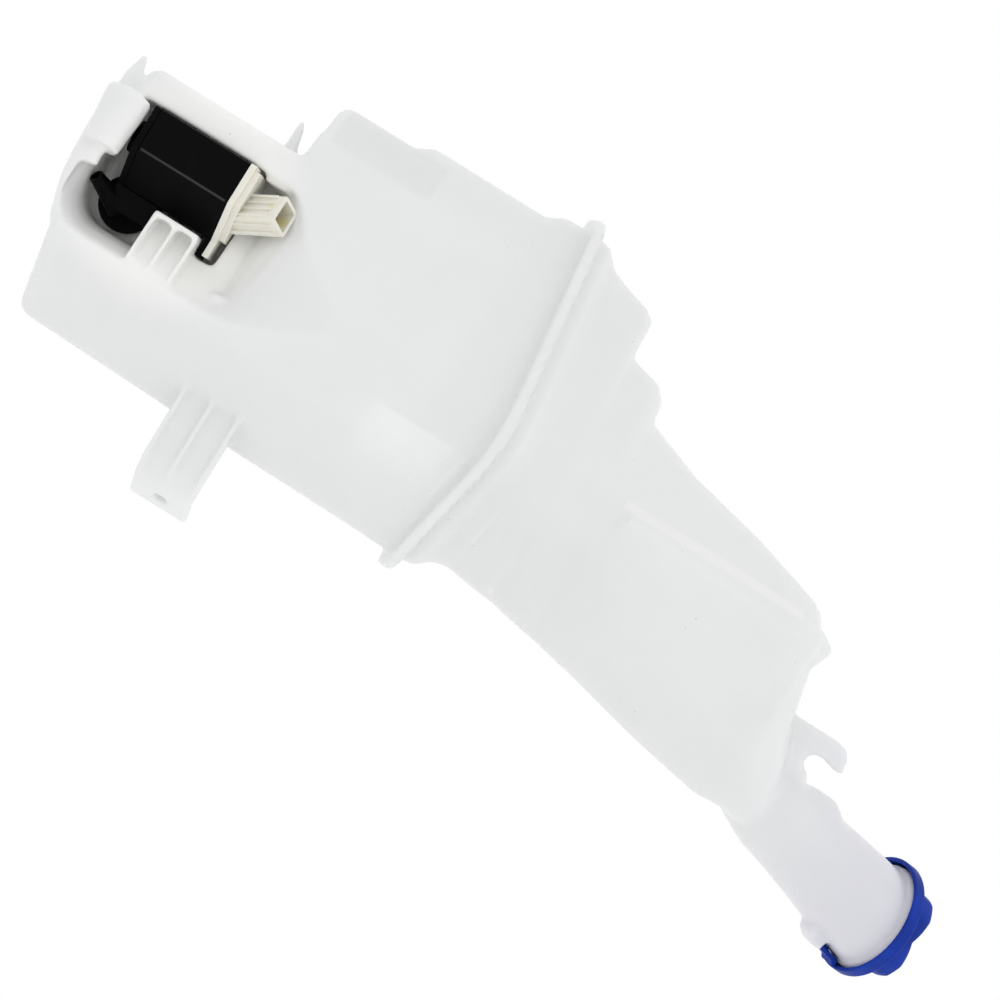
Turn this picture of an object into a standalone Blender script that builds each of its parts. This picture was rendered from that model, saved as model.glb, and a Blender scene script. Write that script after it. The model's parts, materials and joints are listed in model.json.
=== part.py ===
# Windscreen washer fluid reservoir: a two-part welded tank, a hinged filler cap
# and the electric pump that sits in a notch of the lower half.
# Metres, +Z up, front towards -Y. The origin is on the bolting face of the lower ear.

import math

import bmesh
import bpy
from mathutils import Matrix, Vector

mm = 0.001

# Tank walls and weld
WALL = 2.8 * mm
SEAT_GAP = 0.3 * mm
WELD_HEIGHT = -28 * mm
WELD_SLOPE = -0.222
WELD_FOLD = 9 * mm
FLANGE_THICK = 2.5 * mm
FLANGE_PROUD = 6.5 * mm
ARC_STEPS = 5

# Tank plan: a wedge with a blunt prow towards the front
TANK_BACK = 48 * mm
PROW_FRONT = -58 * mm
PROW_LEFT = -30 * mm
PROW_RIGHT = -14 * mm
LOWER_LEFT = -115 * mm
LOWER_RIGHT = 43 * mm
LEFT_TAPER = 0.6
RIGHT_TAPER = 0.974
TANK_BOTTOM = -215 * mm
BOTTOM_ROUND = 6 * mm
FOOT_LEFT = -77 * mm
FOOT_RIGHT = 38.5 * mm
LEDGE_HEIGHT = -142 * mm
LEDGE_LEFT = -106 * mm
SHOULDER_LEFT = -110.5 * mm
SIDE_ROUND = 7 * mm
PROW_ROUND = 18 * mm
BACK_ROUND = 9 * mm

# Notch for the pump
NOTCH_BACK = -14 * mm
NOTCH_LEFT = -74 * mm
NOTCH_RIGHT = -9 * mm
NOTCH_FLOOR = -210.6 * mm
NOTCH_CORNER = 12 * mm
ROOF_BACK = -146.5 * mm
ROOF_LEAN = 0.48
# Depth in front of the notch's back, with the outward flare, floor drop and roof rise there
NOTCH_LEVELS = ((0, 0, 0, 0), (-11, 0, 0, 4.5), (-18, 0.7, 0.2, 9), (-24, 2.5, 0.6, 14.5), (-29, 5.5, 1.2, 20),
                (-33, 10, 2.2, 26), (-37, 15.5, 3.4, 33), (-41, 22, 5, 42), (-45, 31, 7, 54), (-52, 50, 11, 80))

# Sump lip with the blind second port
LIP_LEFT = -67 * mm
LIP_DEEP = 10 * mm
PORT_RADIUS = 10.5 * mm
PORT_NOSE = 7.8 * mm
PORT_NUB = 3.2 * mm
PORT_START = Vector((-61, -46.5, -212)) * mm
PORT_END = Vector((-36, -51.5, -211)) * mm
PORT_TIP = Vector((-28, -53, -210.5)) * mm

# Bracket and block beside the pump
BRACKET_LEFT = -26.6 * mm
BRACKET_PLATE = 2.2 * mm
BRACKET_SHELF = 1.8 * mm
BRACKET_FRONT = -44 * mm
BRACKET_LOW = -180 * mm
BRACKET_HIGH = -158.8 * mm
BRACKET_NOSE = Vector((-3.5, -47.5)) * mm
BRACKET_RAMP = -24 * mm
ROOF_BLOCK_LOW = Vector((-11, -41, -143)) * mm
ROOF_BLOCK_HIGH = Vector((-3, -22, -131)) * mm

# Lower bolt ear
EAR_BOTTOM = -136 * mm
EAR_TOP = -108 * mm
EAR_WEB = 3.5 * mm
EAR_ROOT = 30 * mm
EAR_FRONT = -11 * mm
EAR_KNEE = 69.5 * mm
EAR_END = Vector((79.5, 8.0)) * mm
EAR_RIB = 2.4 * mm
EAR_RIB_FRONT = -19 * mm
EAR_HOLE = 3.1 * mm
EAR_BOSS = 5.2 * mm
EAR_BOSS_PROUD = 0.8 * mm
EAR_HOLE_HEIGHT = -121.5 * mm
EAR_SEAT_DROP = 9 * mm

# Raised field on the tower's front: height, depth of the front there, left and right edges,
# how far it stands proud, and the fall of the level towards the right
PANEL_STRIP = 7
PANEL_LEVELS = ((48.5, -45.2, -26.5, -3, 0.2, 0.33), (50.5, -45, -27, -2, 2.2, 0.33), (63, -44, -26.7, 3, 2.2, 0.2),
                (100, -40, -25.4, 16, 2.2, 0), (133, -36.5, -24.2, 26, 2.2, 0), (142, -33, -24, 26, 2.2, 0),
                (149.3, -30.5, -19, -4, 0.5, 0.38))

# Hook on the upper half
HOOK_FRONT = -9 * mm
HOOK_THICK = 11 * mm

# Filler neck
NECK_MOUTH = Vector((67.7, 20.0, 230.6)) * mm
NECK_LEAN_BACK = math.radians(24)
NECK_LEAN_RIGHT = math.radians(5.4)
NECK_BEND = 0.17
NECK_SAG = 0.16
NECK_MOUTH_RADIUS = 25.2 * mm
NECK_WALL = 2 * mm
NECK_BEAD = 3 * mm
NECK_STRAIGHT = 6 * mm
# Radius, height below the mouth and sideways shift of each circle, from the foot up to the bead
NECK_CIRCLES = ((14, -92, -1), (17, -82, -1), (19.2, -70, -1), (19.8, -60, -1.2), (20, -56, -1.3),
                (21.4, -46.5, -2), (20.4, -43.5, -0.7), (19.9, -41, 0), (21.3, -26, 0), (22.6, -9, 0),
                (22.8, -5, 0))
BORE_PAST = 8 * mm
TURN_STEPS = 40

# Filler cap and strap
CAP_PLAY = 0.5 * mm
CAP_RIM = 27.6 * mm
CAP_SKIRT = 5 * mm
CAP_DECK = 2 * mm
FLANGE_LIP = 1.4 * mm
WAIST_TOP = -1.2 * mm
KNOB_RADIUS = 27.4 * mm
KNOB_TOP = 8.6 * mm
KNOB_LOBES = 6
KNOB_TURN = math.radians(-6)
KNOB_LEVELS = ((0.0, 1.0, 0.02), (0.35, 1.0, 0.12), (0.8, 0.97, 0.25), (0.94, 0.93, 0.27), (1.0, 0.87, 0.26))
DISH_DEPTH = 1 * mm
PLUG_PLAY = 1.5 * mm
PLUG_DEPTH = 0.9 * mm
PLUG_WALL = 1.6 * mm
HINGE_OUT = CAP_RIM - 0.4 * mm
HINGE_HEIGHT = -CAP_SKIRT - SEAT_GAP / 2
STRAP_WIDTH = 10 * mm
STRAP_THICK = 1.8 * mm
STRAP_FACE = NECK_MOUTH_RADIUS - 1.9 * mm
STRAP_FOOT = STRAP_FACE - 1.2 * mm
STRAP_LOW = -16 * mm
STRAP_CORNER = 3 * mm
NUB_HEIGHT = 10 * mm
NUB_WIDTH = 12 * mm
NUB_ROOT = 17 * mm
NUB_PROUD = 0.5 * mm
PEG_THICK = 1.0 * mm
PEG_WIDTH = 6 * mm
PEG_LENGTH = 5 * mm

# Pump
PUMP_AXIS = Vector((-48.0, -34.5, 0)) * mm
CASE_LEFT = -62.2 * mm
CASE_RIGHT = -28 * mm
CASE_FRONT = -50 * mm
CASE_BACK = -20 * mm
CASE_CHAMFER = 15.8 * mm
CASE_TOP = -156 * mm
CASE_BOTTOM = -197.6 * mm
CASE_WALL = 1.8 * mm
CASE_CORNER = 1.5 * mm
FLOOR_TOP = -185 * mm
FLOOR_THICK = 2.5 * mm
CAN_RADIUS = 12 * mm
CAN_WALL = 1.0 * mm
CAN_LENGTH = 28 * mm
MAGNET_THICK = 2.4 * mm
MAGNET_LENGTH = 15 * mm
ARMATURE_RADIUS = 7.6 * mm
ARMATURE_LENGTH = 13 * mm
ARMATURE_POLES = 3
SHAFT_RADIUS = 1.0 * mm
BUSH_RADIUS = 3.0 * mm
BUSH_LENGTH = 2.6 * mm
SEAL_RADIUS = 3.6 * mm
COMMUTATOR_RADIUS = 2.6 * mm
COMMUTATOR_LENGTH = 4 * mm
RUN_GAP = 0.4 * mm
IMPELLER_RADIUS = 9 * mm
IMPELLER_VANES = 6
CHAMBER_RADIUS = 10.4 * mm
BASE_THICK = 2.6 * mm
BASE_BOSS = 8 * mm
BASE_BOSS_DROP = 3.5 * mm
PORT_CENTRE = Vector((-22.5, -195)) * mm
DISC_RADIUS = 12 * mm
DISC_THICK = 2.7 * mm
SPIGOT_RADIUS = 4.3 * mm
SPIGOT_BORE = 2.6 * mm
GROMMET_RADIUS = 10 * mm
GROMMET_NECK = 7.2 * mm
GROMMET_LIP = 2.2 * mm
CONNECTOR_WIDTH = 13.7 * mm
CONNECTOR_DEPTH = 11 * mm
CONNECTOR_HEIGHT = 22 * mm
CONNECTOR_ROOT = -8 * mm
CONNECTOR_FLOOR = 4 * mm
CONNECTOR_FOOT = Vector((-43.2, -35)) * mm
CONNECTOR_TURN = (math.radians(39.4), math.radians(-3), math.radians(-31))
CONNECTOR_WALL = 1.6 * mm
TERMINAL_HEIGHT = 9 * mm


def clear_scene():
    for item in list(bpy.data.objects):
        bpy.data.objects.remove(item, do_unlink=True)


def new_collection(name):
    group = bpy.data.collections.new(name)
    bpy.context.scene.collection.children.link(group)
    return group


clear_scene()
parts = new_collection("washer_reservoir")
cutters = new_collection("cutters")


def empty(name, parent=None, location=(0, 0, 0), rotation=(0, 0, 0)):
    frame = bpy.data.objects.new(name, None)
    parts.objects.link(frame)
    frame.parent = parent
    frame.location = location
    frame.rotation_euler = rotation
    return frame


datum = empty("tank_datum")


def make_material(name, colour, roughness, metallic=0.0, alpha=1.0):
    material = bpy.data.materials.new(name)
    material.use_nodes = True
    shader = material.node_tree.nodes["Principled BSDF"]
    shader.inputs["Base Color"].default_value = (*colour, 1.0)
    shader.inputs["Roughness"].default_value = roughness
    shader.inputs["Metallic"].default_value = metallic
    shader.inputs["Alpha"].default_value = alpha
    return material


def place(name, bm, material=None, parent=datum):
    # A named part, or a hidden cutter where no material is given.
    bmesh.ops.recalc_face_normals(bm, faces=bm.faces)
    mesh = bpy.data.meshes.new(name)
    bm.to_mesh(mesh)
    bm.free()
    mesh.shade_smooth()
    mesh.set_sharp_from_angle(angle=math.radians(32))
    item = bpy.data.objects.new(name, mesh)
    if material:
        mesh.materials.append(material)
        parts.objects.link(item)
    else:
        cutters.objects.link(item)
        item.hide_render = True
        item.display_type = "WIRE"
    item.parent = parent
    return item


def combine(target, tool, operation):
    step = target.modifiers.new(f"{operation.lower()}_{tool.name}", "BOOLEAN")
    step.operation = operation
    step.object = tool
    step.solver = "EXACT"


def bevel(item, width, segments=2, angle=40):
    step = item.modifiers.new("bevel", "BEVEL")
    step.width = width
    step.segments = segments
    step.limit_method = "ANGLE"
    step.angle_limit = math.radians(angle)
    step.harden_normals = False


# Outlines

def inset_corners(corners, amount):
    # Moves every side of an anticlockwise outline inwards.
    moved = []
    count = len(corners)
    for i, corner in enumerate(corners):
        before = (corner - corners[i - 1]).normalized()
        after = (corners[(i + 1) % count] - corner).normalized()
        normal_before = Vector((-before.y, before.x))
        normal_after = Vector((-after.y, after.x))
        mitre = (normal_before + normal_after).normalized()
        moved.append(corner + mitre * amount / max(mitre.dot(normal_after), 0.2))
    return moved


def round_corners(corners, radii, steps=ARC_STEPS):
    outline = []
    count = len(corners)
    for i, corner in enumerate(corners):
        back = corners[i - 1] - corner
        ahead = corners[(i + 1) % count] - corner
        turn = math.pi - back.angle(ahead)
        reach = radii[i] * math.tan(turn / 2)
        reach = min(reach, 0.46 * back.length, 0.46 * ahead.length)
        radius = reach / math.tan(turn / 2)
        start = corner + back.normalized() * reach
        inward = (back.normalized() + ahead.normalized()).normalized()
        centre = corner + inward * radius / math.cos(turn / 2)
        arm = start - centre
        side = 1 if back.x * ahead.y - back.y * ahead.x < 0 else -1
        for k in range(steps + 1):
            angle = side * turn * k / steps
            outline.append(centre + Matrix.Rotation(angle, 2) @ arm)
    return outline


def plan(points):
    return [Vector(point) * mm for point in points]


# Solids

def loft(rings, fold=False):
    # Skins a stack of rings; a fold splits each end along the line between its fold points.
    bm = bmesh.new()
    loops = [[bm.verts.new(point) for point in ring] for ring in rings]
    count = len(loops[0])
    for lower, upper in zip(loops, loops[1:]):
        for i in range(count):
            j = (i + 1) % count
            bm.faces.new((lower[i], lower[j], upper[j], upper[i]))
    turn = 4 * (ARC_STEPS + 1)
    for ends in (list(reversed(loops[0])), loops[-1]):
        if fold:
            first = ends.index(loops[0][turn] if ends[-1] in loops[0] else loops[-1][turn])
            last = ends.index(loops[0][-1] if ends[-1] in loops[0] else loops[-1][-1])
            low, high = sorted((first, last))
            bm.faces.new(ends[low:high + 1])
            bm.faces.new(ends[high:] + ends[:low + 1])
        else:
            bm.faces.new(ends)
    return bm


def upright(outline, low, high):
    # A plan outline extruded from one height to another.
    return loft([[Vector((p.x, p.y, z)) for p in outline] for z in (low, high)])


def standing(outline, front, back):
    # A front-view outline (x, z) extruded from front to back.
    return loft([[Vector((p.x, y, p.y)) for p in outline] for y in (front, back)])


def box(low, high):
    bm = bmesh.new()
    bmesh.ops.create_cube(bm, size=1)
    low, high = Vector(low), Vector(high)
    for vert in bm.verts:
        for axis in range(3):
            vert.co[axis] = (low[axis] + high[axis]) / 2 + vert.co[axis] * (high[axis] - low[axis])
    return bm


def cone(start, end, start_radius, end_radius, steps=24):
    start, end = Vector(start), Vector(end)
    run = end - start
    bm = bmesh.new()
    bmesh.ops.create_cone(bm, cap_ends=True, segments=steps, radius1=start_radius,
                          radius2=end_radius, depth=run.length)
    turn = run.to_track_quat("Z", "Y").to_matrix().to_4x4()
    bmesh.ops.transform(bm, verts=bm.verts, matrix=Matrix.Translation((start + end) / 2) @ turn)
    return bm


def turned(name, profile, material=None, parent=datum, steps=TURN_STEPS, at=None):
    # A closed (radius, height) profile, turned about the parent's Z axis by a Screw modifier.
    bm = bmesh.new()
    verts = [bm.verts.new((radius, 0, height)) for radius, height in profile]
    for a, b in zip(verts, verts[1:]):
        bm.edges.new((a, b))
    if profile[0][0] > 0:
        bm.edges.new((verts[-1], verts[0]))
    mesh = bpy.data.meshes.new(name)
    bm.to_mesh(mesh)
    bm.free()
    item = bpy.data.objects.new(name, mesh)
    group = parts if material else cutters
    group.objects.link(item)
    if material:
        mesh.materials.append(material)
    else:
        item.hide_render = True
        item.display_type = "WIRE"
    item.parent = parent
    if at:
        item.location = at
    screw = item.modifiers.new("turn", "SCREW")
    screw.steps = steps
    screw.render_steps = steps
    screw.use_merge_vertices = True
    screw.merge_threshold = 0.00001
    screw.use_smooth_shade = True
    return item


# Tank form

def prow_left(left):
    # Depth of the left corner on the straight side that runs back from the prow.
    return PROW_FRONT + LEFT_TAPER * (PROW_LEFT - left)


def prow_right(right):
    return PROW_FRONT + RIGHT_TAPER * (right - PROW_RIGHT)


def tank_ring(height, left, right, shrink=0.0, slope=0.0, front=PROW_FRONT, back=TANK_BACK,
              prow=(PROW_LEFT, PROW_RIGHT), sides=None, lean=0.0):
    # One level of the tank: plan corners, inset by shrink, on a plane that may slope.
    left_depth, right_depth = sides or (prow_left(left), prow_right(right))
    corners = [Vector((left, left_depth)), Vector((prow[0], front)), Vector((prow[1], front)),
               Vector((right, right_depth)), Vector((right, back)), Vector((left, back))]
    rounds = (SIDE_ROUND, PROW_ROUND, PROW_ROUND, SIDE_ROUND, BACK_ROUND, BACK_ROUND)
    corners = inset_corners(corners, shrink)
    outline = round_corners(corners, [max(r - shrink, 1.5 * mm) for r in rounds])
    # The level slopes only in front of the fold, which has a point on each side.
    fold = min(WELD_FOLD, back - BACK_ROUND - 1 * mm)
    outline.insert(4 * (ARC_STEPS + 1), Vector((right - shrink, fold)))
    outline.append(Vector((left + shrink, fold)))
    return [Vector((p.x, p.y, height + slope * min(p.y - WELD_FOLD, 0) + lean * (p.x - left)))
            for p in outline]


def lower_rings(inset, flange):
    # Levels of the lower half from the bottom up; a positive inset gives the cavity.
    ledge = LEDGE_HEIGHT + inset
    bottom = TANK_BOTTOM + inset
    rings = [
        tank_ring(bottom, FOOT_LEFT, FOOT_RIGHT, inset + BOTTOM_ROUND),
        tank_ring(bottom + 0.3 * BOTTOM_ROUND, FOOT_LEFT, FOOT_RIGHT, inset + 0.3 * BOTTOM_ROUND),
        tank_ring(bottom + BOTTOM_ROUND, FOOT_LEFT, FOOT_RIGHT, inset),
        tank_ring(ledge, FOOT_LEFT, 40.5 * mm, inset),
        tank_ring(ledge + 0.5 * mm, LEDGE_LEFT + 4 * mm, 40.5 * mm, inset),
        tank_ring(ledge + 2 * mm, LEDGE_LEFT + 1.2 * mm, 40.6 * mm, inset),
        tank_ring(ledge + 5 * mm, LEDGE_LEFT, 40.8 * mm, inset),
        tank_ring(-107 * mm, LEDGE_LEFT, 41.5 * mm, inset),
        tank_ring(-100 * mm, SHOULDER_LEFT, 41.7 * mm, inset),
        tank_ring(-47 * mm, SHOULDER_LEFT, 42.5 * mm, inset, 0.4 * WELD_SLOPE),
        tank_ring(-40 * mm, LOWER_LEFT, 42.8 * mm, inset, 0.7 * WELD_SLOPE),
    ]
    if not flange:
        rings.append(tank_ring(WELD_HEIGHT + 5 * mm, LOWER_LEFT, LOWER_RIGHT, inset, WELD_SLOPE))
        return rings
    seam = WELD_HEIGHT - SEAT_GAP / 2
    rings.append(tank_ring(seam - FLANGE_THICK, LOWER_LEFT, LOWER_RIGHT, 0, WELD_SLOPE))
    rings.append(tank_ring(seam - FLANGE_THICK, LOWER_LEFT, LOWER_RIGHT, -FLANGE_PROUD, WELD_SLOPE))
    rings.append(tank_ring(seam, LOWER_LEFT, LOWER_RIGHT, -FLANGE_PROUD, WELD_SLOPE))
    return rings


def upper_rings(inset, flange):
    # The upper half: a shoulder above the weld, two steps on the left and a leaning tower.
    def ring(height, left, right, front, back, prow, sides, slope=0.0, lean=0.0, ledge=False):
        return tank_ring(height * mm - (inset if ledge else 0), left * mm, right * mm, inset, slope,
                         front * mm, back * mm, [v * mm for v in prow], [v * mm for v in sides], lean)

    rings = []
    if flange:
        seam = WELD_HEIGHT + SEAT_GAP / 2
        for height, proud in ((seam, FLANGE_PROUD), (seam + FLANGE_THICK, FLANGE_PROUD),
                              (seam + FLANGE_THICK, 0)):
            rings.append(tank_ring(height, LOWER_LEFT, LOWER_RIGHT, -proud, WELD_SLOPE))
    else:
        rings.append(tank_ring(WELD_HEIGHT - 5 * mm, LOWER_LEFT, LOWER_RIGHT, inset, WELD_SLOPE))
    rings += [
        ring(-19, -114, 42.5, -57, 47.5, (-30, -14), (-7, -3), WELD_SLOPE),
        ring(-13, -107.5, 37, -52, 45, (-30, -13), (-6, -4), WELD_SLOPE),
        ring(-5, -104.5, 35.6, -50, 44, (-30, -12), (-6, -5), 0.6 * WELD_SLOPE),
        ring(10, -100.5, 37.5, -48.5, 44, (-29, -10), (-7, -6)),
        ring(15, -97, 38, -48, 44, (-29, -9), (-9, -7), ledge=True),
        ring(16, -79, 38.2, -48, 44, (-29, -9), (-18, -7), lean=0.02, ledge=True),
        ring(31, -75, 40.6, -46.5, 43, (-28, -5), (-20, -9)),
        ring(36, -69, 41.5, -46, 43, (-28, -3), (-22, -10), ledge=True),
        ring(37, -60, 41.8, -46, 43, (-28, -3), (-26, -10), lean=0.02, ledge=True),
        ring(63, -50.5, 46.5, -44, 42, (-27, 8), (-28, -14)),
        ring(100, -42.5, 55, -40, 39, (-25.5, 22), (-27, -20)),
        ring(133, -33, 61, -36.5, 36, (-23, 34), (-25, -22)),
        ring(139, -29, 60, -34.5, 34, (-21, 36), (-23, -21), lean=0.06, ledge=True),
        ring(145, -14, 60.5, -31, 30, (-6, 40), (-22, -20), lean=0.03, ledge=True),
        ring(151, 12, 61, -27, 24, (20, 46), (-18, -17), ledge=True),
        ring(156, 24, 61.5, -23, 18, (32, 52), (-14, -14), ledge=True),
        ring(160, 31, 62, -19.5, 14, (38, 54), (-10, -10), ledge=True),
    ]
    return rings


# Notch and features of the lower half

def notch_cutters(grow):
    # The notch widens towards the front under a sloping roof; a second cut opens it to the left.
    rings = []
    for run, flare, sink, rise in NOTCH_LEVELS:
        depth = NOTCH_BACK + run * mm + grow
        right = NOTCH_RIGHT + flare * mm + grow
        floor = NOTCH_FLOOR - sink * mm - grow
        roof = ROOF_BACK + rise * mm + grow
        corners = [Vector((NOTCH_LEFT, floor)), Vector((right, floor)), Vector((right, roof)),
                   Vector((NOTCH_LEFT, roof + ROOF_LEAN * (right - NOTCH_LEFT)))]
        outline = round_corners(corners, [2 * mm, NOTCH_CORNER + grow, NOTCH_CORNER, 2 * mm])
        rings.append([Vector((p.x, depth, p.y)) for p in reversed(outline)])
    main = place(f"notch_{round(grow / mm)}", loft(rings))
    side = place(f"notch_side_{round(grow / mm)}",
                 box((LOWER_LEFT, PROW_FRONT * 1.5, NOTCH_FLOOR - grow),
                     (NOTCH_LEFT + 4 * mm, NOTCH_BACK + grow, LEDGE_HEIGHT + grow)))
    return main, side


def sump_lip():
    # The bottom swells downwards below the notch, following the prow.
    corners = [Vector((LIP_LEFT, NOTCH_BACK)), Vector((LIP_LEFT, prow_left(LIP_LEFT))),
               Vector((PROW_LEFT, PROW_FRONT)), Vector((PROW_RIGHT, PROW_FRONT)),
               Vector((2 * mm, prow_right(2 * mm))), Vector((2 * mm, NOTCH_BACK))]
    rings = []
    for drop, shrink in ((LIP_DEEP, 10 * mm), (0.75 * LIP_DEEP, 6.5 * mm), (-2.5 * mm, 5 * mm)):
        outline = round_corners(inset_corners(corners, shrink), [3 * mm] + [9 * mm] * 4 + [3 * mm])
        slope = 0.14 * drop / LIP_DEEP
        rings.append([Vector((p.x, p.y, TANK_BOTTOM - drop + slope * (p.x - LIP_LEFT)))
                      for p in outline])
    return place("sump_lip", loft(rings))


def ear_pieces():
    along = (EAR_END - Vector((EAR_KNEE, EAR_FRONT))).normalized()
    outward = Vector((along.y, -along.x))
    back = -outward * EAR_WEB
    inner_depth = EAR_FRONT + EAR_WEB
    far_back = EAR_END + back
    inner_knee = far_back - along * (far_back.y - inner_depth) / along.y
    web = [Vector((EAR_ROOT, EAR_FRONT)), Vector((EAR_KNEE, EAR_FRONT)), EAR_END, far_back,
           inner_knee, Vector((EAR_ROOT, inner_depth))]
    pieces = [place("ear_web", upright(web, EAR_BOTTOM, EAR_TOP))]
    rib = [Vector((24 * mm, EAR_RIB_FRONT)), Vector((60 * mm, EAR_RIB_FRONT + 1.5 * mm)),
           Vector((EAR_KNEE, EAR_FRONT)), Vector((EAR_KNEE - 2 * mm, EAR_FRONT + 1.5 * mm)),
           Vector((24 * mm, EAR_FRONT + 1.5 * mm))]
    middle = (EAR_BOTTOM + EAR_TOP) / 2
    for name, height in (("low", EAR_BOTTOM), ("middle", middle - EAR_RIB / 2),
                         ("high", EAR_TOP - EAR_RIB)):
        pieces.append(place(f"ear_rib_{name}", upright(rib, height, height + EAR_RIB)))
    seat = (Vector((EAR_KNEE, EAR_FRONT)) + EAR_END) / 2
    middle_point = Vector((seat.x, seat.y, EAR_HOLE_HEIGHT))
    out = Vector((outward.x, outward.y, 0))
    pieces.append(place("ear_boss", cone(middle_point - out * EAR_WEB / 2,
                                         middle_point + out * EAR_BOSS_PROUD,
                                         EAR_BOSS, EAR_BOSS, 20)))
    hole = place("ear_hole", cone(middle_point - out * 3 * EAR_WEB, middle_point + out * EAR_WEB,
                                  EAR_HOLE, EAR_HOLE, 20))
    seat_point = middle_point - out * EAR_WEB - Vector((0, 0, EAR_SEAT_DROP))
    return pieces, hole, seat_point


def fins():
    lower_fin = plan([(-79, -218), (-76, -216.5), (-69, -214.5), (-60, -213), (-60, -222),
                      (-68, -222), (-77, -219.5)])
    side_fin = plan([(-92, -153), (-88, -150.5), (-78, -148), (-70, -148), (-70, -154.5),
                     (-89, -154)])
    return [place("lower_fin", standing(lower_fin, -33 * mm, -30 * mm)),
            place("side_fin", standing(side_fin, -10 * mm, -7.5 * mm))]


def bracket():
    # The clip that backs the pump: an upright plate on three shelves, with a ramp behind them.
    left, right = BRACKET_LEFT, BRACKET_LEFT + BRACKET_PLATE
    rear = NOTCH_BACK + WALL / 2
    low, high = BRACKET_LOW, BRACKET_HIGH
    pieces = [place("bracket_plate", box((left, BRACKET_FRONT, low), (right, rear, high)))]
    for i in range(3):
        height = low + (high - low - BRACKET_SHELF) * i / 2
        outline = [Vector((left + BRACKET_PLATE / 2, rear)), Vector((left + BRACKET_PLATE / 2, BRACKET_FRONT)),
                   BRACKET_NOSE, Vector((BRACKET_NOSE.x + 6 * mm, rear))]
        pieces.append(place(f"bracket_shelf_{i}", upright(outline, height, height + BRACKET_SHELF)))
    ramp = [Vector((left + BRACKET_PLATE / 2, rear)), Vector((left + BRACKET_PLATE / 2, BRACKET_RAMP)),
            BRACKET_NOSE + Vector((0, 2 * mm)), Vector((BRACKET_NOSE.x + 6 * mm, rear))]
    pieces.append(place("bracket_ramp", upright(ramp, low + BRACKET_SHELF / 2, high - BRACKET_SHELF / 2)))
    return pieces


def roof_block():
    # The small raised block on the slope beside the pump.
    block = place("roof_block", box(ROOF_BLOCK_LOW, ROOF_BLOCK_HIGH))
    bevel(block, 1.2 * mm, 2)
    return block


def lower_shell(material):
    shell = place("lower_tank_shell", loft(lower_rings(0, True), True), material)
    cavity = place("lower_cavity", loft(lower_rings(WALL, False), True))
    for target, grow in ((cavity, WALL), (shell, 0)):
        for tool in notch_cutters(grow):
            combine(target, tool, "DIFFERENCE")
    ear, hole, seat_point = ear_pieces()
    port = [place("port_body", cone(PORT_START, PORT_END, PORT_RADIUS, PORT_NOSE)),
            place("port_nub", cone(PORT_END - (PORT_TIP - PORT_END) * 0.3, PORT_TIP, PORT_NUB, PORT_NUB, 16))]
    for piece in [sump_lip(), *port, *ear, *fins(), *bracket(), roof_block()]:
        combine(shell, piece, "UNION")
    combine(shell, cavity, "DIFFERENCE")
    combine(shell, hole, "DIFFERENCE")
    wall_hole = place("grommet_hole", cone((PORT_CENTRE.x, NOTCH_BACK - 2 * mm, PORT_CENTRE.y),
                                           (PORT_CENTRE.x, NOTCH_BACK + WALL + 2 * mm, PORT_CENTRE.y),
                                           GROMMET_NECK + SEAT_GAP, GROMMET_NECK + SEAT_GAP))
    combine(shell, wall_hole, "DIFFERENCE")
    return shell, seat_point


# Upper half with its hook and filler neck

def neck_frame():
    return empty("neck_axis", datum, NECK_MOUTH, (-NECK_LEAN_BACK, NECK_LEAN_RIGHT, 0))


def neck_loft(inset, top):
    # Circles parallel to the mouth, down a neck whose centre line bends away from the mouth's axis.
    circles = [(r * mm - inset, height * mm, shift * mm) for r, height, shift in NECK_CIRCLES]
    circles += [(NECK_MOUTH_RADIUS - inset, -NECK_BEAD, 0), (NECK_MOUTH_RADIUS - inset, top, 0)]
    rings = []
    for radius, height, shift in circles:
        below = min(height + NECK_STRAIGHT, 0)
        centre = Vector((shift + NECK_BEND * below, -NECK_SAG * below, height))
        rings.append([centre + radius * Vector((math.cos(a), math.sin(a), 0))
                      for a in (math.tau * k / TURN_STEPS for k in range(TURN_STEPS))])
    return loft(rings)


def neck_pieces(frame):
    tube = place("neck_tube", neck_loft(0, 0), parent=frame)
    bore = place("neck_bore", neck_loft(NECK_WALL, BORE_PAST), parent=frame)
    return tube, bore


def side_profile(points, width):
    # A (radius, height) outline on the neck's right side, extruded across its width.
    return loft([[Vector((p.x, depth, p.y)) for p in points] for depth in (-width / 2, width / 2)])


def nub_piece(frame):
    # The block on the neck that holds the strap, with a hole for the strap's peg.
    top = STRAP_LOW - SEAT_GAP
    face = STRAP_FOOT + STRAP_THICK + NUB_PROUD
    outline = [Vector((NUB_ROOT, top - NUB_HEIGHT)), Vector((face - 3.5 * mm, top - NUB_HEIGHT)),
               Vector((face, top - NUB_HEIGHT / 2)), Vector((face, top)), Vector((NUB_ROOT, top))]
    nub = place("strap_nub", side_profile(outline, NUB_WIDTH), parent=frame)
    bevel(nub, 0.8 * mm, 2, 30)
    middle = STRAP_FOOT + STRAP_THICK / 2
    reach = PEG_THICK / 2 + SEAT_GAP
    hole = place("peg_hole", box((middle - reach, -PEG_WIDTH / 2 - SEAT_GAP, top - PEG_LENGTH - SEAT_GAP),
                                 (middle + reach, PEG_WIDTH / 2 + SEAT_GAP, top + NUB_PROUD * 2)), parent=frame)
    return nub, hole


def hook_piece():
    outline = plan([(11, 143), (43, 143), (46, 160), (40, 171.5), (30, 171.3), (28.2, 169.3), (27.8, 167),
                    (26.8, 165.6), (25, 165), (23, 165.5), (21.4, 167), (20.6, 169.5), (20.6, 172),
                    (21.3, 174), (22.7, 179), (22, 181.6), (16, 180.6), (12.6, 178), (11.3, 173)])
    return place("hook", standing(outline, HOOK_FRONT, HOOK_FRONT + HOOK_THICK))


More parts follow.
